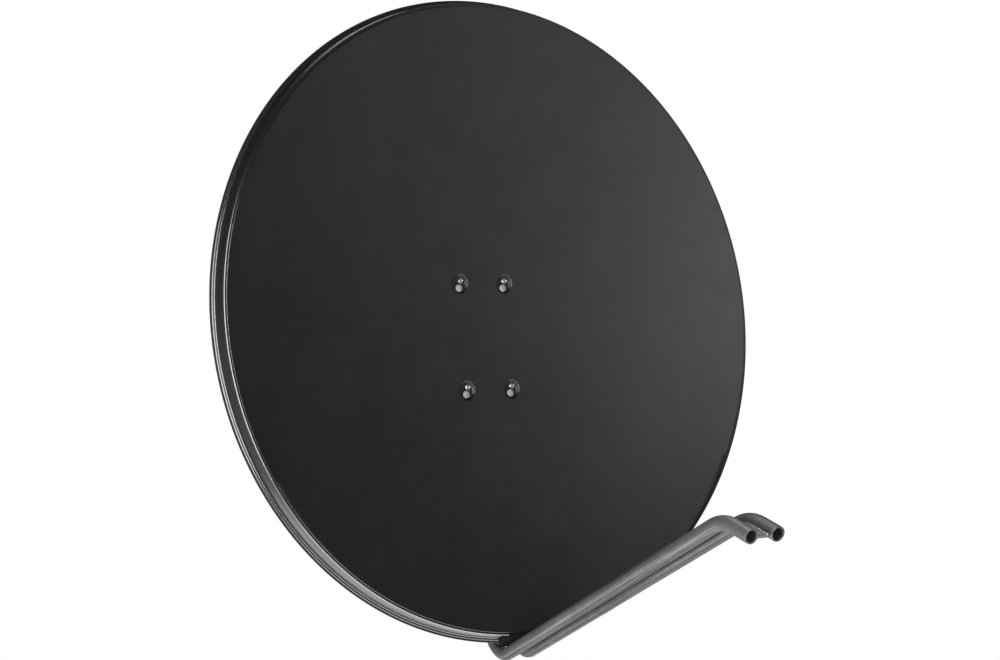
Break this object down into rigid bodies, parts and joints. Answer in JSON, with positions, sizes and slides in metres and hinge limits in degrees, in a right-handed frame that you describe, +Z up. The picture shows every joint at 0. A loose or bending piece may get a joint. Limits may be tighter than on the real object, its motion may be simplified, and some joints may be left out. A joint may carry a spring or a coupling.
{
  "type": "satellite dish",
  "caption": "Offset satellite dish with a rolled rim, a twin-tube feed arm and a mast mount that tilts for elevation.",
  "frame": {"origin": "on the mast axis, at mid height of the mast clamp", "axes": "+Z up along the mast, the dish looks towards -Y, +X to the right of someone facing the front of the dish"},
  "size_m": [0.8498, 0.8499, 0.935],
  "materials": {
    "reflector_paint": "satin anthracite powder coat",
    "galvanised": "galvanised steel with lengthwise drawing marks",
    "zinc": "zinc-plated",
    "nylon": "natural nylon"
  },
  "bodies": {
    "mast_mount": {"mast_bracket": "galvanised", "pivot_sleeve": "zinc", "pivot_bolt": "zinc", "friction_washers": "nylon", "pivot_washers": "zinc", "pivot_nut": "zinc", "lock_bolts": "zinc", "lock_washers": "zinc", "lock_nuts": "zinc", "clamp_bolts": "zinc"},
    "dish": {"reflector": "reflector_paint", "backing_strips": "galvanised", "pocket_rivets": "zinc", "dish_bolts": "zinc", "spacer_tubes": "zinc", "feed_tube_left": "galvanised", "feed_tube_right": "galvanised", "arm_tie_plate": "galvanised", "arm_plate": "galvanised", "tilt_bracket": "galvanised", "dish_washers": "zinc", "dish_nuts": "zinc"},
    "upper_jaw": {"upper_jaw": "galvanised", "upper_jaw_washers": "zinc"},
    "lower_jaw": {"lower_jaw": "galvanised", "lower_jaw_washers": "zinc"},
    "upper_left_nut": {"upper_nut_left": "zinc"},
    "upper_right_nut": {"upper_nut_right": "zinc"},
    "lower_left_nut": {"lower_nut_left": "zinc"},
    "lower_right_nut": {"lower_nut_right": "zinc"}
  },
  "joints": [
    {"name": "elevation_tilt", "type": "hinge", "parent": "mast_mount", "child": "dish", "pos_m": [0, -0.066, -0.04], "axis": [-1, 0, 0], "range_deg": [-20.8, 19.2]},
    {"name": "upper_jaw_slide", "type": "slide", "parent": "mast_mount", "child": "upper_jaw", "axis": [0, 1, 0], "range_m": [-0.012, 0.008]},
    {"name": "upper_left_nut_turn", "type": "hinge", "parent": "upper_jaw", "child": "upper_left_nut", "pos_m": [-0.043, 0.043, 0.042], "axis": [0, 1, 0], "range_deg": [-3459.5, 2306.3]},
    {"name": "upper_right_nut_turn", "type": "hinge", "parent": "upper_jaw", "child": "upper_right_nut", "pos_m": [0.043, 0.043, 0.042], "axis": [0, 1, 0], "range_deg": [-3459.5, 2306.3]},
    {"name": "lower_jaw_slide", "type": "slide", "parent": "mast_mount", "child": "lower_jaw", "axis": [0, 1, 0], "range_m": [-0.012, 0.008]},
    {"name": "lower_left_nut_turn", "type": "hinge", "parent": "lower_jaw", "child": "lower_left_nut", "pos_m": [-0.043, 0.043, -0.042], "axis": [0, 1, 0], "range_deg": [-3459.5, 2306.3]},
    {"name": "lower_right_nut_turn", "type": "hinge", "parent": "lower_jaw", "child": "lower_right_nut", "pos_m": [0.043, 0.043, -0.042], "axis": [0, 1, 0], "range_deg": [-3459.5, 2306.3]}
  ],
  "couplings": [
    {"joint": "upper_left_nut_turn", "follows": "upper_jaw_slide", "rad_per_m": 5026.5},
    {"joint": "upper_right_nut_turn", "follows": "upper_jaw_slide", "rad_per_m": 5026.5},
    {"joint": "lower_left_nut_turn", "follows": "lower_jaw_slide", "rad_per_m": 5026.5},
    {"joint": "lower_right_nut_turn", "follows": "lower_jaw_slide", "rad_per_m": 5026.5}
  ]
}
